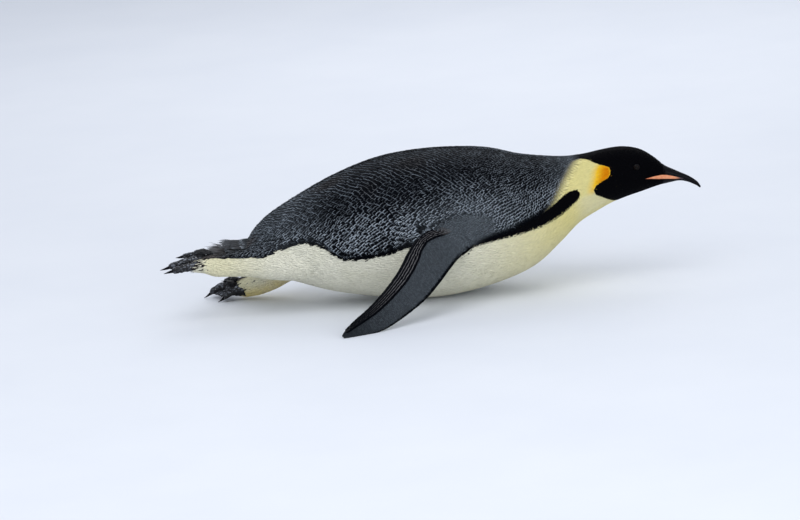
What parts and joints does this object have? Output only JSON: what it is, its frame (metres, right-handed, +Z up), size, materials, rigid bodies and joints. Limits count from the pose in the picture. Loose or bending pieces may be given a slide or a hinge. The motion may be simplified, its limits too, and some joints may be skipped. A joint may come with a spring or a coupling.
{
  "type": "emperor penguin",
  "caption": "Life-size still model of an emperor penguin sliding on its belly, flippers spread to the floor and feet stretched out behind.",
  "frame": {"origin": "on the floor under the middle of the bird's bounding box", "axes": "+X from tail to bill, the bird's longest extent; -Y is the bird's right side; +Z up"},
  "size_m": [1.2081, 0.7064, 0.3289],
  "materials": {
    "back_plumage": "dense short feathers, near-black with grey-blue tips",
    "belly_plumage": "smooth satin cream-white feathers",
    "neck_plumage": "smooth pale yellow feathers, orange at the ear patch",
    "head_plumage": "very short black velvety feathers",
    "flipper_plumage": "small flat scale-like slate feathers",
    "tail_feathers": "short stiff black vanes",
    "bill_horn": "smooth black horn",
    "bill_plate": "smooth salmon-orange horn plate",
    "eye": "wet, dark brown",
    "foot_scutes": "black scaly skin with raised plates and pads",
    "claw_horn": "smooth black horn"
  },
  "bodies": {
    "root": {"torso": "back_plumage", "neck": "neck_plumage", "head": "head_plumage", "tail": "tail_feathers", "bill_upper": "bill_horn", "bill_lower": "bill_horn", "bill_plate_right": "bill_plate", "bill_plate_left": "bill_plate", "eye_right": "eye", "eye_left": "eye", "flipper_right": "flipper_plumage", "flipper_left": "flipper_plumage", "leg_right": "belly_plumage", "leg_left": "belly_plumage", "foot_right": "foot_scutes", "foot_left": "foot_scutes", "claw_inner_right": "claw_horn", "claw_middle_right": "claw_horn", "claw_outer_right": "claw_horn", "claw_hallux_right": "claw_horn", "claw_inner_left": "claw_horn", "claw_middle_left": "claw_horn", "claw_outer_left": "claw_horn", "claw_hallux_left": "claw_horn"}
  },
  "joints": []
}
